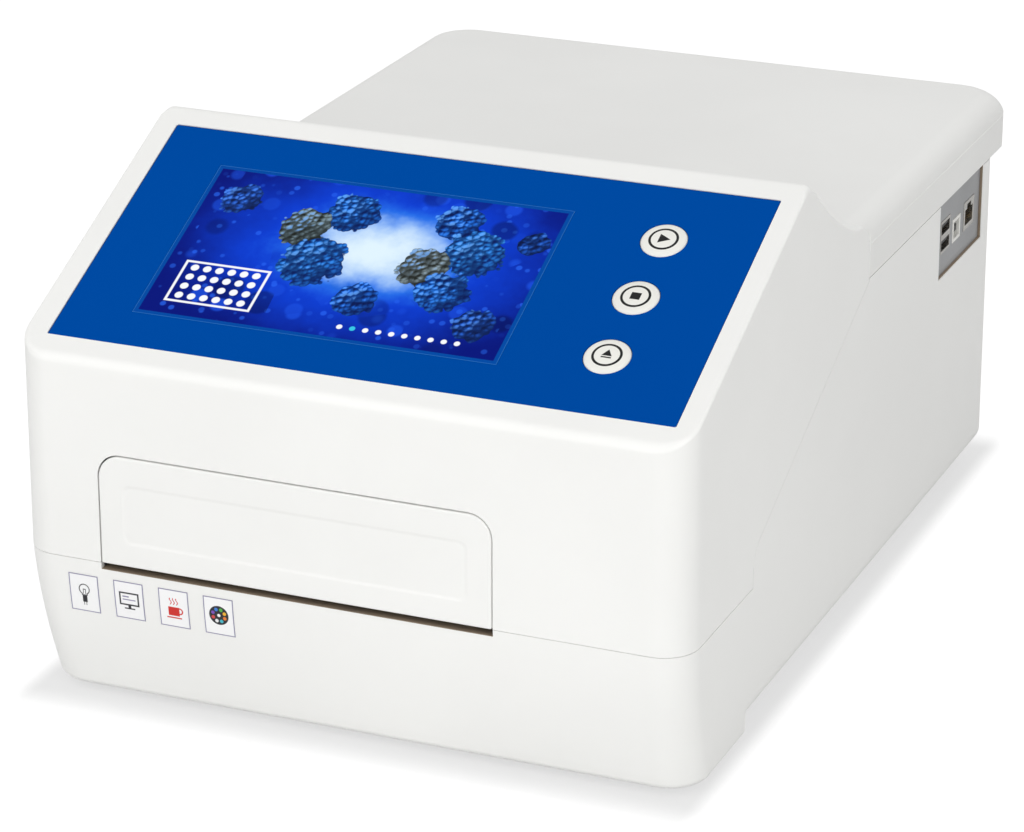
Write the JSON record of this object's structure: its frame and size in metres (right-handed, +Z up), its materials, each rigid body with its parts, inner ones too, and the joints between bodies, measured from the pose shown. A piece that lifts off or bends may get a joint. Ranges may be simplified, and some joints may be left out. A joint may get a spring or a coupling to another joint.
{
  "type": "microplate reader",
  "caption": "Bench-top microplate reader: tilted touch-style display head, side-by-side keys, swing-up plate door with a sliding tray, overhanging lid.",
  "frame": {"origin": "on the bench, under the middle of the casing's bounding box", "axes": "+Z up, -Y towards the user (the display and plate door side), +X to the right as the user sees it"},
  "size_m": [0.289, 0.433, 0.2143],
  "materials": {
    "casing_white": "fine-textured moulded plastic, warm white",
    "lid_white": "fine-textured moulded plastic, cool white",
    "door_white": "fine-textured moulded plastic",
    "overlay_blue": "satin printed polyester film",
    "display_glass": "clear, glossy",
    "display_panel": "glossy display with a blue start picture",
    "key_ivory": "satin, with printed symbols",
    "foot_rubber": "matte",
    "zinc_sheet": "zinc-plated, slightly yellow",
    "bright_steel": "ground and polished",
    "screw_steel": "zinc-plated",
    "machined_aluminium": "machined",
    "black_anodised": "black anodised, satin",
    "tray_plastic": "glass-filled, dark grey",
    "sintered_bronze": "oily sintered bronze",
    "spring_steel": "blued leaf",
    "belt_rubber": "moulded, ribbed",
    "motor_black": "black enamel",
    "board_green": "solder mask over fibreglass",
    "switch_black": "moulded",
    "lens_glass": "polished",
    "filter_glass": "coated, violet sheen",
    "lamp_glass": "clear quartz",
    "lamp_ceramic": "unglazed",
    "fibre_sleeve": "ribbed black sleeve",
    "heater_aluminium": "bead-blasted",
    "supply_case": "galvanised, punched",
    "port_plate_grey": "grey powder coat",
    "port_metal": "tin-plated",
    "port_white": "moulded",
    "inlet_black": "moulded",
    "fan_black": "moulded"
  },
  "bodies": {
    "casing": {"base_case": "casing_white", "front_cover": "casing_white", "top_cover": "lid_white", "front_feet": "foot_rubber", "rear_feet": "foot_rubber", "case_screws": "screw_steel", "chassis_plate": "zinc_sheet", "chassis_screws": "screw_steel", "control_overlay": "overlay_blue", "screen_window": "display_glass", "lcd_module": "display_panel", "lcd_bracket": "zinc_sheet", "button_board": "board_green", "key_switches": "switch_black", "door_pin": "bright_steel", "guide_rods": "bright_steel", "rod_holders": "machined_aluminium", "drive_motor": "motor_black", "idler_bracket": "zinc_sheet", "drive_belt": "belt_rubber", "optics_bridge": "black_anodised", "channel_lenses": "lens_glass", "fibre_bundle": "fibre_sleeve", "fibre_bracket": "machined_aluminium", "wheel_motor": "motor_black", "lamp_housing": "machined_aluminium", "condenser_lens": "lens_glass", "halogen_lamp": "lamp_glass", "lamp_socket": "lamp_ceramic", "detector_board": "board_green", "photodiodes": "port_metal", "heater_plate": "heater_aluminium", "heater_posts": "machined_aluminium", "power_supply": "supply_case", "main_board": "board_green", "board_standoffs": "machined_aluminium", "interface_board": "board_green", "io_plate": "port_plate_grey", "usb_stack": "port_metal", "usb_b_port": "port_white", "network_port": "port_metal", "power_inlet": "inlet_black", "fan_frame": "fan_black", "fan_guard": "bright_steel"},
    "carrier": {"plate_carrier": "tray_plastic", "carrier_bushes": "sintered_bronze", "plate_spring": "spring_steel", "belt_clamp": "machined_aluminium"},
    "door": {"plate_door": "door_white"},
    "start_key": {"start_button": "key_ivory"},
    "stop_key": {"stop_button": "key_ivory"},
    "eject_key": {"eject_button": "key_ivory"},
    "drive_pulley": {"drive_pulley": "machined_aluminium"},
    "idler_pulley": {"idler_pulley": "machined_aluminium"},
    "filter_wheel": {"filter_wheel": "black_anodised", "optical_filters": "filter_glass"},
    "power_rocker": {"power_rocker": "switch_black"},
    "fan_rotor": {"fan_rotor": "fan_black"}
  },
  "joints": [
    {"name": "carrier_slide", "type": "slide", "parent": "casing", "child": "carrier", "axis": [0, -1, 0], "range_m": [0, 0.152]},
    {"name": "door_swing", "type": "hinge", "parent": "casing", "child": "door", "pos_m": [-0.0214, -0.2129, 0.1024], "axis": [-1, 0, 0], "range_deg": [0, 96]},
    {"name": "start_press", "type": "slide", "parent": "casing", "child": "start_key", "axis": [0, 0.4179, -0.9085], "range_m": [0, 0.0008], "stiffness_N_per_m": 800},
    {"name": "stop_press", "type": "slide", "parent": "casing", "child": "stop_key", "axis": [0, 0.4179, -0.9085], "range_m": [0, 0.0008], "stiffness_N_per_m": 800},
    {"name": "eject_press", "type": "slide", "parent": "casing", "child": "eject_key", "axis": [0, 0.4179, -0.9085], "range_m": [0, 0.0008], "stiffness_N_per_m": 800},
    {"name": "drive_spin", "type": "hinge", "parent": "casing", "child": "drive_pulley", "pos_m": [0.078, 0.031, 0.043], "axis": [1, 0, 0], "range_deg": [0, 1250]},
    {"name": "idler_spin", "type": "hinge", "parent": "casing", "child": "idler_pulley", "pos_m": [0.078, -0.196, 0.043], "axis": [1, 0, 0], "range_deg": [0, 1250]},
    {"name": "wheel_turn", "type": "hinge", "parent": "casing", "child": "filter_wheel", "pos_m": [0.01, 0.063, 0.072], "axis": [0, 1, 0], "continuous": true},
    {"name": "rocker_tilt", "type": "hinge", "parent": "casing", "child": "power_rocker", "pos_m": [-0.0705, 0.1915, 0.043], "axis": [1, 0, 0], "range_deg": [-7, 7]},
    {"name": "fan_spin", "type": "hinge", "parent": "casing", "child": "fan_rotor", "pos_m": [0.045, 0.18, 0.075], "axis": [0, 1, 0], "continuous": true}
  ],
  "couplings": [
    {"joint": "door_swing", "follows": "carrier_slide", "rad_per_m": 11},
    {"joint": "drive_spin", "follows": "carrier_slide", "rad_per_m": 142.86},
    {"joint": "idler_spin", "follows": "carrier_slide", "rad_per_m": 142.86}
  ]
}
